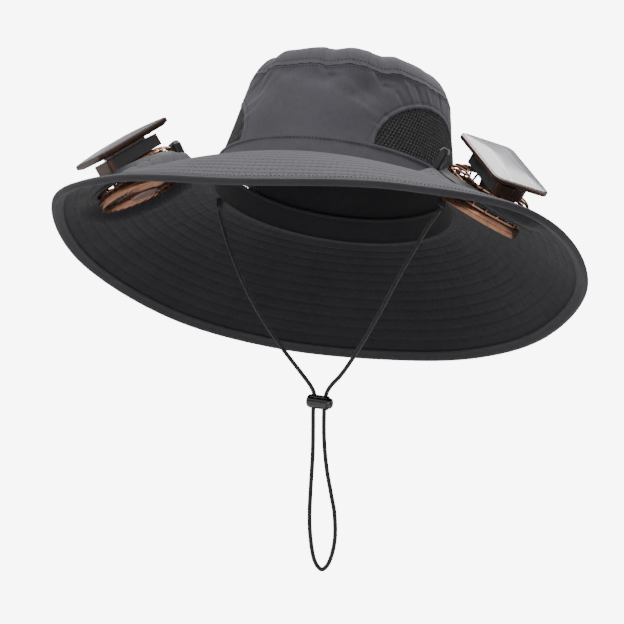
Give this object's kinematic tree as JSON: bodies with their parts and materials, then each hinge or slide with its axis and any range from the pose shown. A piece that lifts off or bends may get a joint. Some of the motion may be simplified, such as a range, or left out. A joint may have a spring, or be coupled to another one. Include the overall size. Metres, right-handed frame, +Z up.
{
  "type": "solar fan hat",
  "caption": "Wide-brimmed sun hat with a domed crown, half-moon mesh vents, a chin cord with a cord lock, and solar-topped fans let into its brim.",
  "frame": {"origin": "middle of the head opening, level with the foot of the crown", "axes": "+Z up the crown, -Y the wearer's front, +X the wearer's left"},
  "size_m": [0.374, 0.3707, 0.3558],
  "materials": {
    "crown_cloth": "matt heathered weave",
    "brim_cloth": "matt quilted cloth, grey above and charcoal below",
    "binding_tape": "matt folded tape",
    "underside_cloth": "matt",
    "vent_net": "open net",
    "cord": "braided",
    "gloss_plastic": "glossy",
    "copper": "metallic copper",
    "copper_brown": "satin metallic brown",
    "cap_rose": "satin",
    "box_grey": "satin",
    "moulded_black": "satin",
    "rotor_grey": "satin",
    "collar_rubber": "matt",
    "solar_glass": "glossy, fine lines over a pale grey cell"
  },
  "bodies": {
    "hat": {"crown_side": "crown_cloth", "crown_tip": "crown_cloth", "vent_mesh_left": "vent_net", "vent_mesh_right": "vent_net", "hatband": "crown_cloth", "sweatband": "underside_cloth", "brim": "brim_cloth", "brim_binding": "binding_tape", "cord_anchor_left": "underside_cloth", "cord_anchor_right": "underside_cloth", "chin_cord": "cord", "lock_barrel": "gloss_plastic", "solar_panel_left": "solar_glass", "panel_tray_left": "copper_brown", "battery_box_left": "box_grey", "box_cap_outer_left": "copper_brown", "box_cap_inner_left": "copper_brown", "rib_cage_left": "copper", "air_frame_left": "moulded_black", "motor_left": "moulded_black", "fan_ring_left": "copper", "hub_cap_left": "cap_rose", "collar_left": "collar_rubber", "clip_left": "moulded_black", "solar_panel_right": "solar_glass", "panel_tray_right": "copper_brown", "battery_box_right": "box_grey", "box_cap_outer_right": "copper_brown", "box_cap_inner_right": "copper_brown", "rib_cage_right": "copper", "air_frame_right": "moulded_black", "motor_right": "moulded_black", "fan_ring_right": "copper", "hub_cap_right": "cap_rose", "collar_right": "collar_rubber", "clip_right": "moulded_black"},
    "rotor_left": {"rotor_left": "rotor_grey"},
    "rotor_right": {"rotor_right": "rotor_grey"},
    "lock_plunger": {"lock_plunger": "gloss_plastic"}
  },
  "joints": [
    {"name": "rotor_left_spin", "type": "hinge", "parent": "hat", "child": "rotor_left", "pos_m": [0.1206, -0.0663, -0.02121], "axis": [0.4894, -0.2108, 0.8462], "continuous": true},
    {"name": "rotor_right_spin", "type": "hinge", "parent": "hat", "child": "rotor_right", "pos_m": [-0.1207, -0.06606, -0.0128], "axis": [-0.4682, -0.2606, 0.8443], "continuous": true},
    {"name": "plunger_press", "type": "slide", "parent": "hat", "child": "lock_plunger", "axis": [-0.9962, 0, 0.0872], "range_m": [0, 0.0016], "stiffness_N_per_m": 600, "springref_m": -0.003}
  ]
}
